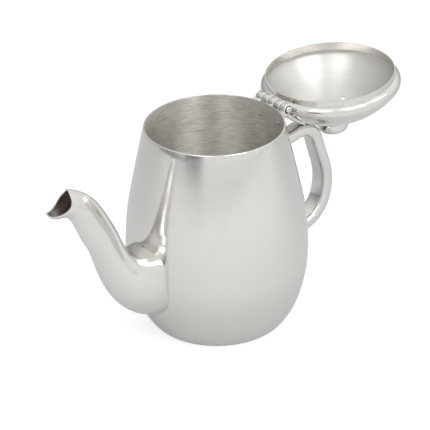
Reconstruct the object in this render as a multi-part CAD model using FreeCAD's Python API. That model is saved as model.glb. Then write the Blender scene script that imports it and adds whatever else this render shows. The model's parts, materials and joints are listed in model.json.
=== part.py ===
import FreeCAD, Part
import math
import os

# A polished steel teapot with a hinged lid, shown open and lying back on its hollow handle.
# Millimetres. The origin is the middle of the foot, +Z is up, the handle is towards +X,
# the spout towards -X, and the hinge lies along Y.

Vector = FreeCAD.Vector
UP = Vector(0, 0, 1)
ACROSS = Vector(0, 1, 0)
TOWARDS_HANDLE = Vector(1, 0, 0)

# Pot body: radii of the outside at a few heights
body_height = 117.0
rim_radius = 38.0
shoulder_radius = 47.0
shoulder_height = 77.0
belly_radius = 50.4
belly_height = 44.0
heel_radius = 45.4
heel_height = 14.2
foot_edge_radius = 38.2
foot_edge_height = 1.2
body_wall = 0.8
base_seam_height = 4.6

# Spout: each station has the ridge and keel points (x, z), half the width, half the width between
# the two ridges, and how far the crest rises above them
spout_root = ((-36.0, 50.0), (-36.0, 19.0), 16.5, 15.8, 9.5)
spout_joint = ((-50.0, 51.5), (-52.0, 20.5), 16.5, 15.6, 9.0)
spout_heel = ((-61.0, 56.5), (-68.5, 33.0), 14.5, 12.8, 5.5)
spout_bend = ((-67.5, 65.0), (-78.0, 53.0), 11.5, 9.5, 4.2)
spout_neck = ((-72.5, 80.0), (-85.0, 71.5), 8.8, 6.0, 3.2)
spout_throat = ((-79.8, 96.0), (-91.3, 85.0), 7.4, 3.5, 2.1)
spout_curl = ((-87.2, 104.8), (-96.6, 94.2), 6.8, 2.2, 1.3)
spout_lip = ((-95.0, 109.2), (-101.5, 96.3), 6.2, 1.8, 1.2)
spout_beak = ((-104.0, 112.5), (-107.9, 98.9), 6.0, 1.8, 1.2)
spout_wall = 0.8
spout_widest_share = 0.48
spout_lip_centre = (-105.4, 109.2)
spout_lip_radius = 9.6

# Strainer holes through the wall behind the spout
strainer_height = 33.0
strainer_hole_radius = 2.4
strainer_pitch = 7.0
strainer_rings = 1

# Handle: corners of the centre line, as distance from the axis and drop below the rim
handle_upper_width = 8.5
handle_grip_width = 12.6
handle_lower_width = 11.0
handle_thickness = 7.4
handle_edge_radius = 3.0
handle_wall = 0.8
handle_upper_root_drop = 27.0
handle_crest_reach = 67.0
handle_crest_drop = 20.1
handle_crest_radius = 11.0
handle_grip_past_crest = 12.0
handle_grip_drop = 57.0
handle_grip_radius = 34.0
handle_heel_past_crest = 5.5
handle_heel_drop = 80.8
handle_heel_radius = 20.0
handle_lower_root_drop = 84.0
handle_root_reach = 38.0

# Lid
lid_overhang = 1.3
lid_bead_radius = 4.0
lid_rise = 21.2
lid_wall = 0.7
lid_seat_gap = 0.3
lid_rest_gap = 0.3
skirt_clearance = 0.9
skirt_depth = 3.0
skirt_wall = 0.6
skirt_tuck = 1.4
vent_radius = 1.2
vent_forward = 14.2
vent_aside = 6.6

# Knob and the screw that holds it
knob_radius = 9.0
knob_half_height = 4.0
knob_neck_radius = 4.0
knob_neck_height = 1.0
knob_screw_radius = 1.5
knob_screw_head_radius = 3.0
knob_screw_head_height = 1.4
knob_screw_clearance = 0.1

# Hinge
hinge_offset = 3.5
barrel_radius = 2.2
barrel_length = 24.7
knuckle_count = 5
knuckle_gap = 0.2
pin_radius = 1.1
pin_clearance = 0.05
pin_head_radius = 1.8
pin_head_height = 0.9
head_chamfer_share = 0.5
leaf_thickness = 1.0
leaf_clearance = 0.35
body_leaf_width = 24.0
body_leaf_bottom_drop = 13.0
body_leaf_top_drop = 2.0
lid_leaf_width = 15.0
lid_leaf_length = 13.0
rivet_spacing = 15.4
rivet_drop = 8.8
rivet_radius = 0.7
rivet_head_radius = 1.1
rivet_head_height = 0.5

# An edge counts as lying at a given place when it is this near
edge_tolerance = 0.01

# Sizes that follow from those above
handle_grip_reach = handle_crest_reach + handle_grip_past_crest
handle_grip_height = body_height - handle_grip_drop
handle_heel_reach = handle_crest_reach + handle_heel_past_crest
handle_heel_height = body_height - handle_heel_drop
handle_lower_root_height = body_height - handle_lower_root_drop
hinge_point = Vector(rim_radius + hinge_offset, 0, body_height)
lid_radius = rim_radius + lid_overhang
mouth_radius = rim_radius - body_wall
skirt_radius = mouth_radius - skirt_clearance
bead_centre_radius = lid_radius - lid_bead_radius
bead_centre_height = body_height + lid_seat_gap + math.sqrt(
    lid_bead_radius ** 2 - (mouth_radius - bead_centre_radius) ** 2)
dome_radius = (bead_centre_radius ** 2 + lid_rise ** 2 - lid_bead_radius ** 2) / (
    2 * (lid_rise - lid_bead_radius))
dome_centre_height = bead_centre_height + lid_rise - dome_radius
lid_apex_height = dome_centre_height + dome_radius
knuckle_length = (barrel_length - (knuckle_count - 1) * knuckle_gap) / knuckle_count
large = 4 * body_height

# Handle length of a Bezier curve that draws a quarter of an ellipse, as a share of its half axis
round_share = 0.5523


# Small helpers
def at(radius, height):
    return Vector(radius, 0, height)


def line(start, end):
    return Part.makeLine(start, end)


def arc(start, through, end):
    return Part.Arc(start, through, end).toShape()


def tangent_arcs(points, direction):
    """Arcs through the points, the first leaving in the direction given, and the last one's direction."""
    edges = []
    for start, end in zip(points, points[1:]):
        chord = end - start
        ahead = Vector(chord).normalize()
        bulge = direction - ahead * direction.dot(ahead)
        sagitta = chord.Length / 2 * math.tan(direction.getAngle(ahead) / 2)
        edges.append(arc(start, (start + end) / 2 + bulge.normalize() * sagitta, end))
        direction = ahead * (2 * direction.dot(ahead)) - direction
    return edges, direction


def bezier(points):
    curve = Part.BezierCurve()
    curve.setPoles(points)
    return curve.toShape()


def turned(edges):
    outline = Part.Wire(Part.sortEdges(edges)[0])
    return Part.Face(outline).revolve(Vector(0, 0, 0), UP, 360)


def block(x_range, y_range, z_range):
    size = [high - low for low, high in (x_range, y_range, z_range)]
    return Part.makeBox(*size, Vector(x_range[0], y_range[0], z_range[0]))


def rod(radius, y_range, centre):
    return Part.makeCylinder(radius, y_range[1] - y_range[0], centre + ACROSS * y_range[0], ACROSS)


def near_side(solid):
    return solid.common(block((-large, large), (-large, 0), (-large, large)))


def far_side(solid):
    return solid.common(block((-large, large), (0, large), (-large, large)))


# Pot body
def pot_solid(inset):
    """Everything inside the pot's outside surface moved inwards by inset."""
    belly = at(belly_radius - inset, belly_height)
    rim = at(rim_radius - inset, body_height)
    foot_edge = at(foot_edge_radius - inset, foot_edge_height)
    upper, _ = tangent_arcs([belly, at(shoulder_radius - inset, shoulder_height), rim], UP)
    lower, inwards = tangent_arcs([belly, at(heel_radius - inset, heel_height), foot_edge], -UP)
    corner_height = foot_edge_height - inset
    corner_width = corner_height / math.tan(inwards.getAngle(-TOWARDS_HANDLE) / 2)
    foot = at(foot_edge.x - corner_width, inset)
    corner, _ = tangent_arcs([foot_edge, foot], inwards)
    axis_bottom = at(0, inset)
    axis_top = at(0, body_height)
    floor = line(foot, axis_bottom)
    axis = line(axis_bottom, axis_top)
    mouth = line(axis_top, rim)
    return turned(upper + lower + corner + [floor, axis, mouth])


def strainer_holes():
    holes = []
    row_height = strainer_pitch * math.sqrt(3) / 2
    for row in range(-strainer_rings, strainer_rings + 1):
        in_row = 2 * strainer_rings + 1 - abs(row)
        for place in range(in_row):
            aside = (place - (in_row - 1) / 2) * strainer_pitch
            start = Vector(-large, aside, strainer_height + row * row_height)
            holes.append(Part.makeCylinder(strainer_hole_radius, large, start, TOWARDS_HANDLE))
    return holes


def pot_pieces(outside):
    shell = outside.cut(pot_solid(body_wall))
    below_seam = block((-large, large), (-large, large), (-large, base_seam_height))
    base_cup = shell.common(below_seam)
    holes = strainer_holes() + rivet_shanks()
    body_shell = shell.cut(below_seam).cut(Part.makeCompound(holes))
    return body_shell, base_cup


# Spout
def spout_section(station, inset):
    """Closed outline with a round keel, full sides and a rounded crest between two ridges."""
    (ridge_x, ridge_z), (keel_x, keel_z), half_width, half_ridge, crown = station
    rise = at(ridge_x, ridge_z) - at(keel_x, keel_z)
    height = rise.Length - inset
    up = rise.normalize()
    keel = at(keel_x, keel_z) + up * inset
    wide = half_width - inset
    ridge = half_ridge - inset
    crest = height + crown - inset
    widest = height * spout_widest_share
    soft = 1 - round_share

    def outline(side):
        def place(aside, above):
            return keel + ACROSS * (side * aside) + up * above

        keel_curve = bezier([
            place(0, 0),
            place(wide * round_share, 0),
            place(wide, widest * soft),
            place(wide, widest),
        ])
        flank = bezier([
            place(wide, widest),
            place(wide, widest + round_share * (height - widest)),
            place(ridge, height - round_share * (crest - height)),
            place(ridge, height),
        ])
        crest_curve = bezier([
            place(ridge, height),
            place(ridge, height + round_share * (crest - height)),
            place(ridge * round_share, crest),
            place(0, crest),
        ])
        return [keel_curve, flank, crest_curve]

    return Part.Wire(Part.sortEdges(outline(1) + outline(-1))[0])


def spout_shell(outside):
    stations = [spout_root, spout_joint, spout_heel, spout_bend,
                spout_neck, spout_throat, spout_curl, spout_lip, spout_beak]
    outer = Part.makeLoft([spout_section(station, 0) for station in stations], True)
    bore = Part.makeLoft([spout_section(station, spout_wall) for station in stations], True)
    lip_cut = rod(spout_lip_radius, (-large, large), at(*spout_lip_centre))
    return outer.cut(bore).cut(outside).cut(lip_cut)


# Handle
def rounded_path(corners, radii):
    """Straight runs joined by tangent arcs; returns the wire and the arcs' centres."""
    edges = []
    centres = []
    start = corners[0]
    for before, corner, after, radius in zip(corners, corners[1:], corners[2:], radii):
        arriving = (corner - before).normalize()
        leaving = (after - corner).normalize()
        half_turn = arriving.getAngle(leaving) / 2
        inwards = (leaving - arriving).normalize()
        arc_start = corner - arriving * (radius * math.tan(half_turn))
        arc_end = corner + leaving * (radius * math.tan(half_turn))
        centre = corner + inwards * (radius / math.cos(half_turn))
        edges.append(line(start, arc_start))
        edges.append(arc(arc_start, centre - inwards * radius, arc_end))
        centres.append(centre)
        start = arc_end
    edges.append(line(start, corners[-1]))
    return Part.Wire(edges), centres


def handle_path():
    corners = [
        at(handle_root_reach, body_height - handle_upper_root_drop),
        at(handle_crest_reach, body_height - handle_crest_drop),
        at(handle_grip_reach, handle_grip_height),
        at(handle_heel_reach, handle_heel_height),
        at(handle_root_reach, handle_lower_root_height),
    ]
    return rounded_path(corners, [handle_crest_radius, handle_grip_radius, handle_heel_radius])


def handle_section(centre, along, width, inset):
    """Rounded rectangle round the centre, square to the direction along."""
    outwards = along.cross(ACROSS)
    radius = handle_edge_radius - inset
    wide = width / 2 - inset
    thick = handle_thickness / 2 - inset
    diagonal = radius * (1 - math.sqrt(0.5))

    def place(aside, out):
        return centre + ACROSS * aside + outwards * out

    corners = []
    for side, face in ((1, 1), (1, -1), (-1, -1), (-1, 1)):
        flat_end = place(side * (wide - radius), face * thick)
        edge_end = place(side * wide, face * (thick - radius))
        middle = place(side * (wide - diagonal), face * (thick - diagonal))
        corners.append((flat_end, middle, edge_end) if side == face else (edge_end, middle, flat_end))
    edges = []
    for corner, following in zip(corners, corners[1:] + corners[:1]):
        edges.append(arc(*corner))
        edges.append(line(corner[-1], following[0]))
    return Part.Wire(edges)


def handle_solid(inset):
    """The handle's outside moved inwards by inset: its width grows to the grip and shrinks below it."""
    path, _ = handle_path()
    edges = path.OrderedEdges
    grip = edges[3]
    sections = []
    for edge, share, width in ((edges[0], 0, handle_upper_width), (grip, 0.5, handle_grip_width),
                               (edges[-1], 1, handle_lower_width)):
        spot = edge.getParameterByLength(edge.Length * share)
        sections.append(handle_section(edge.valueAt(spot), edge.tangentAt(spot), width, inset))
    return path.makePipeShell(sections, True, False)


def handle_tube(outside):
    return handle_solid(0).cut(handle_solid(handle_wall)).cut(outside)


# Lid, built shut and then swung open
def opening_angle(vector):
    """Angle from -X, over the top, to the direction of vector, in degrees from 0 to 360."""
    return math.degrees(math.atan2(vector.z, -vector.x)) % 360


def lid_open_angle():
    """The swing that lays the dome on the crest of the handle."""
    _, arc_centres = handle_path()
    to_dome = at(0, dome_centre_height) - hinge_point
    to_crest = arc_centres[0] - hinge_point
    crest_radius = handle_crest_radius + handle_thickness / 2
    touching = dome_radius + crest_radius + lid_rest_gap
    between = math.degrees(math.acos(
        (to_dome.Length ** 2 + to_crest.Length ** 2 - touching ** 2)
        / (2 * to_dome.Length * to_crest.Length)))
    return (opening_angle(to_crest) - between - opening_angle(to_dome)) % 360


def opened(solid):
    return solid.rotated(hinge_point, ACROSS, lid_open_angle())


def dome_solid(inset):
    """Everything under the lid's outside surface moved inwards by inset, above the curled edge."""
    bead_centre = at(bead_centre_radius, bead_centre_height)
    dome_centre = at(0, dome_centre_height)
    bead = lid_bead_radius - inset
    dome = dome_radius - inset
    outwards = (bead_centre - dome_centre).normalize()
    edge_aside = skirt_radius - bead_centre_radius
    edge = bead_centre + at(edge_aside, -math.sqrt(bead ** 2 - edge_aside ** 2))
    widest = bead_centre + at(bead, 0)
    tangent = bead_centre + outwards * bead
    half_way = (UP + outwards).normalize()
    apex = dome_centre + UP * dome
    axis_bottom = at(0, edge.z)
    return turned([
        line(axis_bottom, edge),
        arc(edge, widest, tangent),
        arc(tangent, dome_centre + half_way * dome, apex),
        line(apex, axis_bottom),
    ])


def skirt_space():
    """The round space that the skirt fills, through the lid's curled edge."""
    return Part.makeCylinder(skirt_radius, large, at(0, -large / 2), UP)


def lid_dome():
    hollow = dome_solid(lid_wall)
    below_bead = skirt_space().common(
        block((-large, large), (-large, large), (-large, bead_centre_height)))
    vent = Part.makeCylinder(vent_radius, large, Vector(-vent_forward, vent_aside, body_height), UP)
    screw_hole = Part.makeCylinder(knob_screw_radius + knob_screw_clearance, large, at(0, body_height), UP)
    return dome_solid(0).cut(hollow).cut(below_bead).cut(vent).cut(screw_hole)


def lid_skirt():
    height = skirt_depth + skirt_tuck
    bottom = at(0, body_height - skirt_depth)
    return Part.makeCylinder(skirt_radius, height, bottom).cut(
        Part.makeCylinder(skirt_radius - skirt_wall, height, bottom))


def knob_centre_height():
    return lid_apex_height + knob_neck_height + knob_half_height


def lid_knob():
    """A bun-shaped button on a short neck that sits on the top of the dome."""
    centre = at(0, knob_centre_height())
    bottom = centre - at(0, knob_half_height)
    widest = centre + at(knob_radius, 0)
    top = centre + at(0, knob_half_height)
    flat = at(knob_radius - knob_half_height, 0)
    edge = arc(bottom + flat, widest, top + flat)
    bun = turned([line(bottom, bottom + flat), edge, line(top + flat, top), line(top, bottom)])
    neck = Part.makeCylinder(knob_neck_radius, centre.z - bead_centre_height, at(0, bead_centre_height))
    return bun.fuse(neck).removeSplitter().cut(dome_solid(0)).cut(knob_screw_shank())


def knob_screw_shank():
    seat = knob_screw_seat()
    return Part.makeCylinder(knob_screw_radius, knob_centre_height() - seat, at(0, seat))


def knob_screw_seat():
    """Height at which the flat of the screw's head meets the inside of the dome."""
    inner_radius = dome_radius - lid_wall
    return dome_centre_height + math.sqrt(inner_radius ** 2 - knob_screw_head_radius ** 2)


def knob_screw():
    head_bottom = at(0, knob_screw_seat() - knob_screw_head_height)
    head = Part.makeCylinder(knob_screw_head_radius, knob_screw_head_height, head_bottom)
    lower_edge = [edge for edge in head.Edges if abs(edge.CenterOfMass.z - head_bottom.z) < edge_tolerance]
    chamfer = head_chamfer_share * knob_screw_head_height
    return head.makeChamfer(chamfer, lower_edge).fuse(knob_screw_shank()).removeSplitter()


# Hinge
def knuckle_range(number):
    start = -barrel_length / 2 + number * (knuckle_length + knuckle_gap)
    return start, start + knuckle_length


def pin_bore():
    return rod(pin_radius + pin_clearance, (-barrel_length, barrel_length), hinge_point)


def rivet_axes():
    """Places on the outer wall, and the directions square to it, of the two rivets."""
    height = body_height - rivet_drop
    wall = pot_solid(0).Faces
    axes = []
    for side in (-1, 1):
        beside = Vector(large, side * rivet_spacing / 2, height)
        ray = line(Vector(0, beside.y, height), beside)
        hit = pot_solid(0).common(ray).Vertexes
        place = max((vertex.Point for vertex in hit), key=lambda spot: spot.x)
        face = min(wall, key=lambda each: each.distToShape(Part.Vertex(place))[0])
        outwards = face.normalAt(*face.Surface.parameter(place))
        if outwards.x < 0:
            outwards = outwards * -1
        axes.append((place, outwards))
    return axes


def rivet_shanks():
    shanks = []
    for place, outwards in rivet_axes():
        start = place - outwards * body_wall
        shanks.append(Part.makeCylinder(rivet_radius, body_wall + leaf_thickness, start, outwards))
    return shanks


def hinge_rivets():
    rivets = []
    for (place, outwards), shank in zip(rivet_axes(), rivet_shanks()):
        inner = place - outwards * (body_wall + rivet_head_height)
        outer = place + outwards * leaf_thickness
        heads = [Part.makeCylinder(rivet_head_radius, rivet_head_height, seat, outwards)
                 for seat in (inner, outer)]
        rivets.append(shank.fuse(heads).removeSplitter())
    return Part.makeCompound(rivets)


def hinge_body_leaf(outside):
    """A sheet on the back of the pot with every other knuckle of the barrel."""
    half_width = body_leaf_width / 2
    pad = pot_solid(-leaf_thickness).cut(outside).common(block(
        (0, large), (-half_width, half_width),
        (body_height - body_leaf_bottom_drop, body_height - body_leaf_top_drop)))
    pieces = []
    for number in range(0, knuckle_count, 2):
        y_range = knuckle_range(number)
        knuckle = rod(barrel_radius, y_range, hinge_point)
        web = block((0, hinge_point.x), y_range,
                    (hinge_point.z - 2 * barrel_radius, hinge_point.z - knuckle_gap)).cut(outside)
        pieces += [knuckle, web]
    leaf = pad.fuse(pieces).removeSplitter().cut(pin_bore())
    for number in range(1, knuckle_count, 2):
        low, high = knuckle_range(number)
        room = (low - knuckle_gap, high + knuckle_gap)
        leaf = leaf.cut(rod(barrel_radius + leaf_clearance, room, hinge_point))
    for rivet_hole in rivet_shanks():
        leaf = leaf.cut(rivet_hole)
    return leaf


def hinge_lid_leaf():
    """A sheet on the back of the lid with the knuckles that lie between the body's."""
    half_width = lid_leaf_width / 2
    lid = dome_solid(0)
    pad = dome_solid(-leaf_thickness).cut(lid).common(block(
        (lid_radius - lid_leaf_length, large), (-half_width, half_width),
        (hinge_point.z + leaf_thickness, large)))
    pad = pad.cut(rod(barrel_radius + leaf_clearance, (-barrel_length, barrel_length), hinge_point))
    pieces = []
    for number in range(1, knuckle_count, 2):
        y_range = knuckle_range(number)
        knuckle = rod(barrel_radius, y_range, hinge_point)
        tab = block((bead_centre_radius, hinge_point.x), y_range,
                    (hinge_point.z + leaf_thickness, hinge_point.z + barrel_radius)).cut(lid)
        pieces += [knuckle, tab]
    return pad.fuse(pieces).removeSplitter().cut(pin_bore())


def hinge_pin():
    half_length = barrel_length / 2
    tip = half_length + pin_head_height
    pin = rod(pin_radius, (-half_length, half_length), hinge_point)
    for side in (-1, 1):
        head = Part.makeCylinder(pin_head_radius, pin_head_height,
                                 hinge_point + ACROSS * (side * half_length), ACROSS * side)
        rim = [edge for edge in head.Edges if abs(edge.CenterOfMass.y) > tip - edge_tolerance]
        pin = pin.fuse(head.makeChamfer(head_chamfer_share * pin_head_height, rim))
    return pin.removeSplitter()


def build():
    outside = pot_solid(0)
    body_shell, base_cup = pot_pieces(outside)
    spout = spout_shell(outside)
    handle = handle_tube(outside)
    nodes = {
        "body_shell": body_shell,
        "base_cup": base_cup,
        "spout_left_half": near_side(spout),
        "spout_right_half": far_side(spout),
        "handle_left_half": near_side(handle),
        "handle_right_half": far_side(handle),
        "hinge_body_leaf": hinge_body_leaf(outside),
        "hinge_rivets": hinge_rivets(),
        "hinge_pin": hinge_pin(),
        "hinge_lid_leaf": opened(hinge_lid_leaf()),
        "lid_dome": opened(lid_dome()),
        "lid_skirt": opened(lid_skirt()),
        "lid_knob": opened(lid_knob()),
        "knob_screw": opened(knob_screw()),
    }
    os.makedirs("parts", exist_ok=True)
    for name, shape in nodes.items():
        shape.exportStep("parts/" + name + ".step")
        print(name, len(shape.Solids), "solid", round(shape.Volume, 1), "mm3 valid", shape.isValid())
    print("lid opens by", round(lid_open_angle(), 3), "degrees about", hinge_point)


build()
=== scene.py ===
import json
import math

import bmesh
import bpy
from mathutils import Matrix, Vector


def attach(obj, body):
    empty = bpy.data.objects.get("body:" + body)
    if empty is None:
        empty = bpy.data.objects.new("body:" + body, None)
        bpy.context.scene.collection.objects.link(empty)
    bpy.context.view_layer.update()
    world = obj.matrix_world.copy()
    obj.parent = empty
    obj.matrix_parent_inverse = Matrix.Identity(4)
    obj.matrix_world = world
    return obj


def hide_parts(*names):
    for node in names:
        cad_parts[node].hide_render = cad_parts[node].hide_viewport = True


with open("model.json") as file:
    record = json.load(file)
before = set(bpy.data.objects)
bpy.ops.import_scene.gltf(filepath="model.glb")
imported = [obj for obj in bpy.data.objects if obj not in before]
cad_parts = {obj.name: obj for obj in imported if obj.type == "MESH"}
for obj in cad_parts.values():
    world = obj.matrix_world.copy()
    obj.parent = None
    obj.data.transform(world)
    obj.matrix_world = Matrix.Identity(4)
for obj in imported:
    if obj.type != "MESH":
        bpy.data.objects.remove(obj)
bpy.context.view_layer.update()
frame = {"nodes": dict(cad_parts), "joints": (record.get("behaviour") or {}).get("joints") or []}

# Sizes in metres
MM = 0.001
merge_distance = 0.001 * MM
seam_tolerance = 0.002 * MM
smooth_angle = math.radians(32)
sharp_angle = math.radians(60)

# The rim of the pot, rounded where its level top meets the walls
rim_height = 117 * MM
rim_rounding = 0.36 * MM
rim_steps = 4
rim_level_rise = 0.5

# Inner faces: how far they look at the axis of the pot, up from its bottom, or at the middle of the dome
wall_inward = 0.25
axis_reach = 1 * MM
bottom_upward = 0.3
bottom_height = 20 * MM
underside_height = 0.3 * MM
dome_inward = 0.3

# The open lid: the middle of its dome, shut, swung about the hinge pin
lid_hinge = frame["joints"][0]
hinge_spot = Vector(lid_hinge["pos_m"])
lid_swing = math.radians(-lid_hinge["range_deg"][0])
shut_dome_centre = Vector((0, 0, 93.2 * MM))
open_dome_centre = hinge_spot + Matrix.Rotation(lid_swing, 3, "Y") @ (shut_dome_centre - hinge_spot)

# The hinge barrel: five round knuckles on one pin, every other one on the pot
knuckle_radius = 2.8 * MM
knuckle_length = 4.78 * MM
knuckle_step = 4.98 * MM
knuckle_count = 5
knuckle_sides = 64
knuckle_rounding = 0.3 * MM
knuckle_rounding_steps = 3

# The middle line of the spout's bore, from the pot to the mouth, as places along X and Z in millimetres
spout_line = [Vector((x * MM, 0, z * MM)) for x, z in (
    (-36, 34.5), (-51, 36), (-64.8, 44.8), (-72.8, 59), (-78.8, 75.8), (-85.6, 90.5), (-91.9, 99.5),
    (-98.3, 102.8), (-106, 105.7))]

# Painted brown reflection and shade in the spout: where it starts and is full, behind the mouth, and how
# much steel it covers
stain_start = 11 * MM
stain_end = 24 * MM
stain_cover = 0.45

# Steel, as sRGB
polished_colour = "e2e0dd"
spun_colour = "f3f0eb"
spun_dark_colour = "cdc7bc"
lid_colour = "e0deda"
lid_inside_colour = "dddbd8"
lid_dark_colour = "d4d2ce"
bore_colour = "f0eeec"
# Brown of the painted reflection and shade deep in the spout's bore
stain_colour = "a2643f"
hinge_colour = "dedcd8"

# Surface marks, in millimetres
# Real grain and spun lines are finer than 0.1 mm: these are as coarse as they need to be to show
polish_smear_size = 9.0
polish_grain_size = 0.5
polish_grain_depth = 0.02
polish_grain_strength = 0.03
spun_line_pitch = 0.4
spun_line_depth = 0.03
stain_blotch_size = 3.0

# The part of its range that a noise pattern fills, and the part of it that shows as dark spun lines
noise_reach = (0.3, 0.7)
dark_line_reach = (0.3, 0.55)

# Roughness of each finish, from its brightest patches to its dullest
polished_roughness = (0.10, 0.17)
lid_roughness = (0.08, 0.14)
hinge_roughness = (0.20, 0.28)
bore_roughness = (0.28, 0.33)

# Spun faces: roughness, strength and length of the lines, and how far they drag a highlight across them
wall_spin = {"roughness": (0.47, 0.58), "line_strength": 0.3, "line_length": 6.0, "drag": 0.95}
bottom_spin = {"roughness": (0.42, 0.54), "line_strength": 0.1, "line_length": 125.0, "drag": 0.8}
lid_spin = {"roughness": (0.43, 0.47), "line_strength": 0.05, "line_length": 125.0, "drag": 0.7}
quarter_turn = 0.25

# Colour sockets of a mix node, by number because their names repeat
mix_first = 6
mix_second = 7
mix_result = 2

# The camera, fitted to the rim, lid, spout and handle of the photograph
camera_aim = Vector((0, 0, 60 * MM))
camera_distance = 1.0
camera_azimuth = math.radians(-38.04)
camera_elevation = math.radians(28.73)
camera_roll = math.radians(-1.34)
camera_lens = 152.5
camera_sensor = 36
camera_shift = (-0.0033, 0.0060)
camera_clip = (0.05, 50)

# The floor: painted light, brightest before the pot, with painted shadow round its foot and painted shade
# behind it
floor_size = 6.0
floor_near_colour = "c1c1c1"
floor_far_colour = "a6a6a6"
floor_bright_turn = math.radians(8)
floor_fade_reach = 0.22
floor_foot_reach = (42 * MM, 110 * MM)
floor_foot_share = 0.15
floor_glow = 0.7
floor_mirrored_glow = 0.22

# The sky: greys by height, brightest to the right of the camera, dim behind the pot and in one gap
white_light = (1, 1, 1, 1)
sky_greys = ((0.0, 0.9), (0.3, 0.92), (0.6, 1.0), (1.0, 0.95))
sky_bright_turn = math.radians(48)
sky_lift = 1.2
sky_fade = (-0.5, 0.6)
sky_far_heights = (0.0, 0.3)
sky_far_share = (0.35, 0.6)
sky_gap_turn = math.radians(-32)
sky_gap_lift = math.radians(5)
sky_gap_reach = (0.95, 1.0)
sky_gap_share = 0.3

# Soft boxes: place and power in watts
soft_box_size = 0.75
soft_boxes = {
    "soft_box_front_right": (Vector((0.04, -1.09, 1.3)), 8.0),
    "soft_box_front_left": (Vector((-0.97, -0.49, 1.3)), 5.0),
    "soft_box_right": (Vector((0.9, -0.7, 1.2)), 1.0),
}


def linear(hex_colour):
    """An sRGB hex colour as linear red, green, blue and alpha."""
    channels = [int(hex_colour[i:i + 2], 16) / 255 for i in (0, 2, 4)]
    light = [c / 12.92 if c <= 0.04045 else ((c + 0.055) / 1.055) ** 2.4 for c in channels]
    return (*light, 1.0)


def add_node(tree, kind, inputs=None, **settings):
    """Add a node, set its own settings, and fill its sockets with values or with other nodes' outputs."""
    node = tree.nodes.new(kind)
    for name, value in settings.items():
        setattr(node, name, value)
    for socket, value in (inputs or {}).items():
        if isinstance(value, bpy.types.NodeSocket):
            tree.links.new(value, node.inputs[socket])
        else:
            node.inputs[socket].default_value = value
    return node


def new_material(name):
    """An empty node material with its output."""
    material = bpy.data.materials.new(name)
    material.use_nodes = True
    material.node_tree.nodes.clear()
    output = add_node(material.node_tree, "ShaderNodeOutputMaterial")
    return material, material.node_tree, output


# Materials

def polished_steel(name, colour, roughness):
    """Stainless steel, buffed or tumbled: a soft mirror, with cloudy smears of gloss and a fine grain."""
    material, tree, output = new_material(name)
    place = add_node(tree, "ShaderNodeTexCoord").outputs["Object"]
    smear = add_node(tree, "ShaderNodeTexNoise",
                     {"Vector": place, "Scale": 1 / (polish_smear_size * MM), "Detail": 3.0})
    gloss = add_node(tree, "ShaderNodeMapRange",
                     {"Value": smear.outputs["Fac"], "From Min": noise_reach[0], "From Max": noise_reach[1],
                      "To Min": roughness[0], "To Max": roughness[1]})
    grain = add_node(tree, "ShaderNodeTexNoise",
                     {"Vector": place, "Scale": 1 / (polish_grain_size * MM), "Detail": 2.0})
    bump = add_node(tree, "ShaderNodeBump",
                    {"Height": grain.outputs["Fac"], "Strength": polish_grain_strength,
                     "Distance": polish_grain_depth * MM})
    shader = add_node(tree, "ShaderNodeBsdfPrincipled",
                      {"Base Color": linear(colour), "Metallic": 1.0,
                       "Roughness": gloss.outputs["Result"], "Normal": bump.outputs["Normal"]})
    tree.links.new(shader.outputs["BSDF"], output.inputs["Surface"])
    return material


def spun_steel(name, colour, dark_colour, roughness, line_strength, line_length, drag):
    """Stainless steel, spun and left satin: fine rings round the axis that drag the highlights upright."""
    material, tree, output = new_material(name)
    place = add_node(tree, "ShaderNodeTexCoord").outputs["Object"]
    along = 1 / (line_length * MM)
    across = 1 / (spun_line_pitch * MM)
    stretched = add_node(tree, "ShaderNodeMapping", {"Vector": place, "Scale": (along, along, across)})
    rings = add_node(tree, "ShaderNodeTexNoise",
                     {"Vector": stretched.outputs["Vector"], "Scale": 1.0, "Detail": 4.0})
    gloss = add_node(tree, "ShaderNodeMapRange",
                     {"Value": rings.outputs["Fac"], "From Min": noise_reach[0], "From Max": noise_reach[1],
                      "To Min": roughness[0], "To Max": roughness[1]})
    bump = add_node(tree, "ShaderNodeBump",
                    {"Height": rings.outputs["Fac"], "Strength": line_strength,
                     "Distance": spun_line_depth * MM})
    bare = add_node(tree, "ShaderNodeMapRange",
                    {"Value": rings.outputs["Fac"], "From Min": dark_line_reach[0],
                     "From Max": dark_line_reach[1]})
    tone = add_node(tree, "ShaderNodeMix",
                    {"Factor": bare.outputs["Result"], mix_first: linear(dark_colour),
                     mix_second: linear(colour)}, data_type="RGBA")
    tangent = add_node(tree, "ShaderNodeTangent", direction_type="RADIAL", axis="Z")
    shader = add_node(tree, "ShaderNodeBsdfPrincipled",
                      {"Base Color": tone.outputs[mix_result], "Metallic": 1.0,
                       "Anisotropic": drag, "Anisotropic Rotation": quarter_turn,
                       "Roughness": gloss.outputs["Result"], "Normal": bump.outputs["Normal"],
                       "Tangent": tangent.outputs["Tangent"]})
    tree.links.new(shader.outputs["BSDF"], output.inputs["Surface"])
    return material


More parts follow.
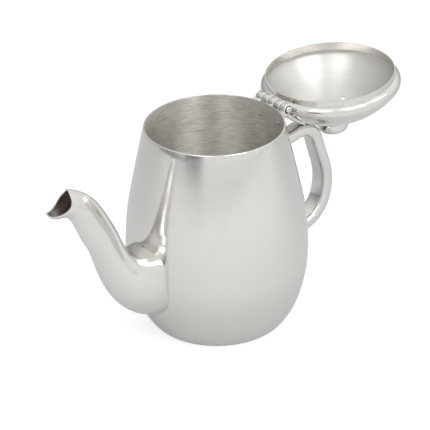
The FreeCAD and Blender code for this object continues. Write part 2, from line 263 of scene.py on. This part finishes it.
def stained_steel(name, colour, stain, roughness):
    """Stainless steel in the spout, pickled and not buffed: satin, with painted brown reflection and shade
    deepening behind the mouth.
    """
    material, tree, output = new_material(name)
    place = add_node(tree, "ShaderNodeTexCoord").outputs["Object"]
    blotch = add_node(tree, "ShaderNodeTexNoise",
                      {"Vector": place, "Scale": 1 / (stain_blotch_size * MM), "Detail": 3.0})
    gloss = add_node(tree, "ShaderNodeMapRange",
                     {"Value": blotch.outputs["Fac"], "From Min": noise_reach[0], "From Max": noise_reach[1],
                      "To Min": roughness[0], "To Max": roughness[1]})
    # Painted brown reflection and shade: browner and less metallic deeper behind the mouth, with a ragged
    # edge
    depth = add_node(tree, "ShaderNodeVectorMath", {0: place, 1: spout_line[-1]}, operation="DISTANCE")
    ragged = add_node(tree, "ShaderNodeMath",
                      {0: blotch.outputs["Fac"], 1: stain_blotch_size * MM, 2: depth.outputs["Value"]},
                      operation="MULTIPLY_ADD")
    browned = add_node(tree, "ShaderNodeMapRange",
                       {"Value": ragged.outputs["Value"], "From Min": stain_start, "From Max": stain_end},
                       interpolation_type="SMOOTHSTEP")
    tone = add_node(tree, "ShaderNodeMix",
                    {"Factor": browned.outputs["Result"], mix_first: linear(colour),
                     mix_second: linear(stain)}, data_type="RGBA")
    metal = add_node(tree, "ShaderNodeMath",
                     {0: browned.outputs["Result"], 1: -stain_cover, 2: 1.0}, operation="MULTIPLY_ADD")
    shader = add_node(tree, "ShaderNodeBsdfPrincipled",
                      {"Base Color": tone.outputs[mix_result], "Metallic": metal.outputs["Value"],
                       "Roughness": gloss.outputs["Result"]})
    tree.links.new(shader.outputs["BSDF"], output.inputs["Surface"])
    return material


# Meshes

def round_rim(work):
    """Round both edges of the pot's rim."""
    rim = [e for e in work.edges if all(v.co.z > rim_height - merge_distance for v in e.verts)
           and any(f.normal.z < rim_level_rise for f in e.link_faces)]
    bmesh.ops.bevel(work, geom=rim, offset=rim_rounding, segments=rim_steps, profile=0.5, affect="EDGES")


def merged_copy(nodes, name, finish=None):
    """One mesh from copies of some solids' meshes, welded, without the seam faces between two halves."""
    work = bmesh.new()
    for node in nodes:
        work.from_mesh(frame["nodes"][node].data)
    bmesh.ops.remove_doubles(work, verts=work.verts, dist=merge_distance)
    if len(nodes) > 1:
        seam = [f for f in work.faces if all(abs(v.co.y) < seam_tolerance for v in f.verts)]
        bmesh.ops.delete(work, geom=seam, context="FACES_ONLY")
    if finish:
        finish(work)
    mesh = bpy.data.meshes.new(name)
    work.to_mesh(mesh)
    work.free()
    mesh.shade_smooth()
    mesh.set_sharp_from_angle(angle=smooth_angle)
    piece = bpy.data.objects.new(name, mesh)
    bpy.context.scene.collection.objects.link(piece)
    return piece


def place_piece(piece, nodes, body, materials):
    """Give a piece its materials and its body, and hide the solids that it stands for."""
    for material in materials:
        piece.data.materials.append(material)
    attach(piece, body)
    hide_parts(*nodes)


def mark_inside(piece, faces_in):
    """Give the second material to the faces that the test picks."""
    for face in piece.data.polygons:
        if faces_in(face):
            face.material_index = 1


def faces_axis(face):
    """True on the inner wall and bottom of a pot that stands on the Z axis."""
    outward = Vector((face.center.x, face.center.y, 0))
    if outward.length < axis_reach:
        return face.center.z > underside_height and face.normal.z > 0
    looks_in = face.normal.dot(outward.normalized()) < -wall_inward
    looks_up = face.normal.z > bottom_upward and face.center.z < bottom_height
    return looks_in or looks_up


def faces_bore(face):
    """True on the inner wall of the spout, which looks at the middle line of its bore."""
    nearest = min(spout_line, key=lambda spot: (spot - face.center).length)
    return face.normal.dot(nearest - face.center) > 0


def faces_dome_centre(face):
    """True on the inner face of the open lid."""
    return face.normal.dot((open_dome_centre - face.center).normalized()) > dome_inward


def build_pot(steel, wall, bottom, bore):
    """The wall, bottom, spout and handle, each in place of its solids."""
    for node, inside, finish in (("body_shell", wall, round_rim), ("base_cup", bottom, None)):
        piece = merged_copy([node], node + "_skin", finish)
        place_piece(piece, [node], "pot", [steel, inside])
        mark_inside(piece, faces_axis)
    spout_halves = ["spout_left_half", "spout_right_half"]
    spout = merged_copy(spout_halves, "spout")
    place_piece(spout, spout_halves, "pot", [steel, bore])
    mark_inside(spout, faces_bore)
    handle_halves = ["handle_left_half", "handle_right_half"]
    handle = merged_copy(handle_halves, "handle")
    place_piece(handle, handle_halves, "pot", [steel])


def build_lid(steel, inside):
    """The dome, spun inside, with its polished skirt and knob."""
    dome = merged_copy(["lid_dome"], "lid_dome_skin")
    place_piece(dome, ["lid_dome"], "lid", [steel, inside])
    mark_inside(dome, faces_dome_centre)
    for node, name in (("lid_skirt", "lid_skirt_skin"), ("lid_knob", "knob")):
        piece = merged_copy([node], name)
        place_piece(piece, [node], "lid", [steel])


def build_hinge(steel):
    """The leaves, rivets and pin of the hinge, and the knob's screw."""
    for node, body in (("hinge_body_leaf", "pot"), ("hinge_rivets", "pot"), ("hinge_pin", "pot"),
                       ("hinge_lid_leaf", "lid"), ("knob_screw", "lid")):
        piece = merged_copy([node], node + "_skin")
        place_piece(piece, [node], body, [steel])


def knuckle_row_tree():
    """Node tree for a row of round knuckles along a pin: given their size, number and places."""
    tree = bpy.data.node_groups.new("knuckle row", "GeometryNodeTree")
    sockets = {"Radius": "Float", "Length": "Float", "Count": "Int", "First": "Vector", "Step": "Vector",
               "Steel": "Material"}
    for name, kind in sockets.items():
        tree.interface.new_socket(name, in_out="INPUT", socket_type="NodeSocket" + kind)
    tree.interface.new_socket("Knuckles", in_out="OUTPUT", socket_type="NodeSocketGeometry")
    given = add_node(tree, "NodeGroupInput").outputs
    spots = add_node(tree, "GeometryNodeMeshLine",
                     {"Count": given["Count"], "Start Location": given["First"], "Offset": given["Step"]},
                     mode="OFFSET")
    barrel = add_node(tree, "GeometryNodeMeshCylinder",
                      {"Vertices": knuckle_sides, "Radius": given["Radius"], "Depth": given["Length"]})
    laid = add_node(tree, "GeometryNodeTransform",
                    {"Geometry": barrel.outputs["Mesh"], "Rotation": (math.pi / 2, 0, 0)})
    row = add_node(tree, "GeometryNodeInstanceOnPoints",
                   {"Points": spots.outputs["Mesh"], "Instance": laid.outputs["Geometry"]})
    real = add_node(tree, "GeometryNodeRealizeInstances", {"Geometry": row.outputs["Instances"]})
    clad = add_node(tree, "GeometryNodeSetMaterial",
                    {"Geometry": real.outputs["Geometry"], "Material": given["Steel"]})
    add_node(tree, "NodeGroupOutput", {"Knuckles": clad.outputs["Geometry"]})
    return tree


def shaped_by(tree, name, values):
    """A plain mesh object made by a node tree."""
    piece = bpy.data.objects.new(name, bpy.data.meshes.new(name))
    bpy.context.scene.collection.objects.link(piece)
    modifier = piece.modifiers.new("shape", "NODES")
    modifier.node_group = tree
    for socket in tree.interface.items_tree:
        if socket.in_out == "INPUT":
            modifier[socket.identifier] = values[socket.name]
    graph = bpy.context.evaluated_depsgraph_get()
    mesh = bpy.data.meshes.new_from_object(piece.evaluated_get(graph))
    piece.modifiers.remove(modifier)
    piece.data = mesh
    return piece


def round_knuckles(mesh):
    """Round the sharp ends of the knuckles."""
    work = bmesh.new()
    work.from_mesh(mesh)
    sharp = [e for e in work.edges if e.is_manifold and e.calc_face_angle() > sharp_angle]
    bmesh.ops.bevel(work, geom=sharp, offset=knuckle_rounding, segments=knuckle_rounding_steps,
                    profile=0.5, affect="EDGES")
    work.to_mesh(mesh)
    work.free()
    mesh.shade_smooth()
    mesh.set_sharp_from_angle(angle=smooth_angle)


def build_knuckles(steel):
    """The knuckles of the hinge barrel, by turns on the pot and on the lid."""
    tree = knuckle_row_tree()
    for body, first in (("pot", 0), ("lid", 1)):
        away = (first - (knuckle_count - 1) / 2) * knuckle_step
        piece = shaped_by(tree, "hinge_knuckles_" + body, {
            "Radius": knuckle_radius,
            "Length": knuckle_length,
            "Count": (knuckle_count + 1 - first) // 2,
            "First": hinge_spot + Vector((0, away, 0)),
            "Step": Vector((0, 2 * knuckle_step, 0)),
            "Steel": steel,
        })
        round_knuckles(piece.data)
        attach(piece, body)


# The studio

def towards_camera(turn=0.0, lift=0.0):
    """Direction from the pot to the camera, laid level, then turned to the right and lifted."""
    azimuth = camera_azimuth + turn
    level = math.cos(lift)
    return Vector((math.sin(azimuth) * level, -math.cos(azimuth) * level, math.sin(lift)))


def floor_paper():
    """White paper: it shows as white, keeps the pot's shadow, and is dimmer where the steel mirrors it; its
    colour has painted light before the pot and painted shade behind it and round its foot.
    """
    material, tree, output = new_material("white paper floor")
    place = add_node(tree, "ShaderNodeTexCoord").outputs["Object"]
    # Painted light: the floor's colour is brighter towards the camera and darker behind the pot
    nearer = add_node(tree, "ShaderNodeVectorMath", {0: place, 1: towards_camera(floor_bright_turn)},
                      operation="DOT_PRODUCT")
    share = add_node(tree, "ShaderNodeMapRange",
                     {"Value": nearer.outputs["Value"], "From Min": -floor_fade_reach,
                      "From Max": floor_fade_reach}, interpolation_type="SMOOTHSTEP")
    # Painted shadow: the floor's colour is darker round the pot's foot
    out = add_node(tree, "ShaderNodeVectorMath", {0: place}, operation="LENGTH")
    foot = add_node(tree, "ShaderNodeMapRange",
                    {"Value": out.outputs["Value"], "From Min": floor_foot_reach[0],
                     "From Max": floor_foot_reach[1], "To Min": floor_foot_share},
                    interpolation_type="SMOOTHSTEP")
    lit = add_node(tree, "ShaderNodeMath", {0: share.outputs["Result"], 1: foot.outputs["Result"]},
                   operation="MULTIPLY")
    # The floor's colour, mixed from painted light and painted shade
    paper = add_node(tree, "ShaderNodeMix",
                     {"Factor": lit.outputs["Value"], mix_first: linear(floor_far_colour),
                      mix_second: linear(floor_near_colour)}, data_type="RGBA")
    dull = add_node(tree, "ShaderNodeBsdfDiffuse", {"Color": paper.outputs[mix_result]})
    path = add_node(tree, "ShaderNodeLightPath")
    mirrored = add_node(tree, "ShaderNodeMath",
                        {0: path.outputs["Is Glossy Ray"], 1: path.outputs["Is Transmission Ray"]},
                        operation="MAXIMUM")
    in_steel = add_node(tree, "ShaderNodeMath", {0: mirrored.outputs["Value"], 1: floor_mirrored_glow},
                        operation="MULTIPLY")
    strength = add_node(tree, "ShaderNodeMath",
                        {0: path.outputs["Is Camera Ray"], 1: floor_glow, 2: in_steel.outputs["Value"]},
                        operation="MULTIPLY_ADD")
    glow = add_node(tree, "ShaderNodeEmission",
                    {"Color": white_light, "Strength": strength.outputs["Value"]})
    both = add_node(tree, "ShaderNodeAddShader", {0: dull.outputs["BSDF"], 1: glow.outputs["Emission"]})
    tree.links.new(both.outputs["Shader"], output.inputs["Surface"])
    return material


def build_floor():
    """A pale floor with painted light and shade."""
    mesh = bpy.data.meshes.new("floor")
    half = floor_size / 2
    corners = [(-half, -half, 0), (half, -half, 0), (half, half, 0), (-half, half, 0)]
    mesh.from_pydata(corners, [], [(0, 1, 2, 3)])
    mesh.materials.append(floor_paper())
    floor = bpy.data.objects.new("floor", mesh)
    bpy.context.scene.collection.objects.link(floor)


def build_world():
    """White behind the pot, and a soft sky for everything else, dimmer low down and behind the pot."""
    world = bpy.data.worlds.new("studio")
    world.use_nodes = True
    tree = world.node_tree
    tree.nodes.clear()
    direction = add_node(tree, "ShaderNodeTexCoord").outputs["Generated"]
    height = add_node(tree, "ShaderNodeSeparateXYZ", {"Vector": direction})
    ramp = add_node(tree, "ShaderNodeValToRGB", {"Fac": height.outputs["Z"]})
    stops = ramp.color_ramp.elements
    stops.remove(stops[0])
    for position, grey in sky_greys:
        stop = stops[0] if position == sky_greys[0][0] else stops.new(position)
        stop.position = position
        stop.color = (grey, grey, grey, 1)
    nearer = add_node(tree, "ShaderNodeVectorMath", {0: direction, 1: towards_camera(sky_bright_turn)},
                      operation="DOT_PRODUCT")
    lifted = add_node(tree, "ShaderNodeMath",
                      {0: height.outputs["Z"], 1: sky_lift, 2: nearer.outputs["Value"]},
                      operation="MULTIPLY_ADD")
    behind = add_node(tree, "ShaderNodeMapRange",
                      {"Value": height.outputs["Z"],
                       "From Min": sky_far_heights[0], "From Max": sky_far_heights[1],
                       "To Min": sky_far_share[0], "To Max": sky_far_share[1]})
    share = add_node(tree, "ShaderNodeMapRange",
                     {"Value": lifted.outputs["Value"], "From Min": sky_fade[0], "From Max": sky_fade[1],
                      "To Min": behind.outputs["Result"]}, interpolation_type="SMOOTHSTEP")
    beside = add_node(tree, "ShaderNodeVectorMath",
                      {0: direction, 1: towards_camera(sky_gap_turn, sky_gap_lift)},
                      operation="DOT_PRODUCT")
    gap = add_node(tree, "ShaderNodeMapRange",
                   {"Value": beside.outputs["Value"],
                    "From Min": sky_gap_reach[0], "From Max": sky_gap_reach[1],
                    "To Min": 1.0, "To Max": sky_gap_share}, interpolation_type="SMOOTHSTEP")
    strength = add_node(tree, "ShaderNodeMath", {0: share.outputs["Result"], 1: gap.outputs["Result"]},
                        operation="MULTIPLY")
    soft = add_node(tree, "ShaderNodeBackground",
                    {"Color": ramp.outputs["Color"], "Strength": strength.outputs["Value"]})
    white = add_node(tree, "ShaderNodeBackground", {"Color": white_light, "Strength": 1.0})
    path = add_node(tree, "ShaderNodeLightPath")
    straight = add_node(tree, "ShaderNodeMath",
                        {0: path.outputs["Is Camera Ray"], 1: path.outputs["Is Transmission Ray"]},
                        operation="MAXIMUM")
    pick = add_node(tree, "ShaderNodeMixShader",
                    {0: straight.outputs["Value"], 1: soft.outputs["Background"],
                     2: white.outputs["Background"]})
    add_node(tree, "ShaderNodeOutputWorld", {"Surface": pick.outputs["Shader"]})
    bpy.context.scene.world = world


def build_lamps():
    """Large soft boxes, all turned to the pot."""
    for name, (spot, power) in soft_boxes.items():
        lamp = bpy.data.lights.new(name, "AREA")
        lamp.shape = "SQUARE"
        lamp.size = soft_box_size
        lamp.energy = power
        holder = bpy.data.objects.new(name, lamp)
        holder.location = spot
        holder.rotation_mode = "QUATERNION"
        holder.rotation_quaternion = (camera_aim - spot).to_track_quat("-Z", "Y")
        bpy.context.scene.collection.objects.link(holder)


def build_camera():
    """The camera, where the photograph was taken from."""
    data = bpy.data.cameras.new("camera")
    data.lens = camera_lens
    data.sensor_width = camera_sensor
    data.shift_x, data.shift_y = camera_shift
    data.clip_start, data.clip_end = camera_clip
    camera = bpy.data.objects.new("camera", data)
    spot = camera_aim + towards_camera(lift=camera_elevation) * camera_distance
    turn = (Matrix.Rotation(camera_azimuth, 4, "Z")
            @ Matrix.Rotation(math.pi / 2 - camera_elevation, 4, "X")
            @ Matrix.Rotation(camera_roll, 4, "Z"))
    camera.matrix_world = Matrix.Translation(spot) @ turn
    bpy.context.scene.collection.objects.link(camera)
    bpy.context.scene.camera = camera


steel = polished_steel("polished stainless steel", polished_colour, polished_roughness)
lid_steel = polished_steel("polished stainless steel of the lid", lid_colour, lid_roughness)
hinge_steel = polished_steel("tumbled stainless steel of the hinge", hinge_colour, hinge_roughness)
spun_wall = spun_steel("spun stainless steel inside the pot", spun_colour, spun_dark_colour, **wall_spin)
spun_bottom = spun_steel("spun stainless steel in the bottom of the pot", spun_colour, spun_dark_colour,
                         **bottom_spin)
spun_lid = spun_steel("spun stainless steel inside the lid", lid_inside_colour, lid_dark_colour, **lid_spin)
# Steel of the spout's bore, with painted brown reflection and shade behind the mouth
tea_bore = stained_steel("tea-stained stainless steel in the spout", bore_colour, stain_colour,
                         bore_roughness)

build_pot(steel, spun_wall, spun_bottom, tea_bore)
build_lid(lid_steel, spun_lid)
build_hinge(hinge_steel)
build_knuckles(hinge_steel)
build_floor()
build_world()
build_lamps()
build_camera()
bpy.context.scene.view_settings.view_transform = "Standard"
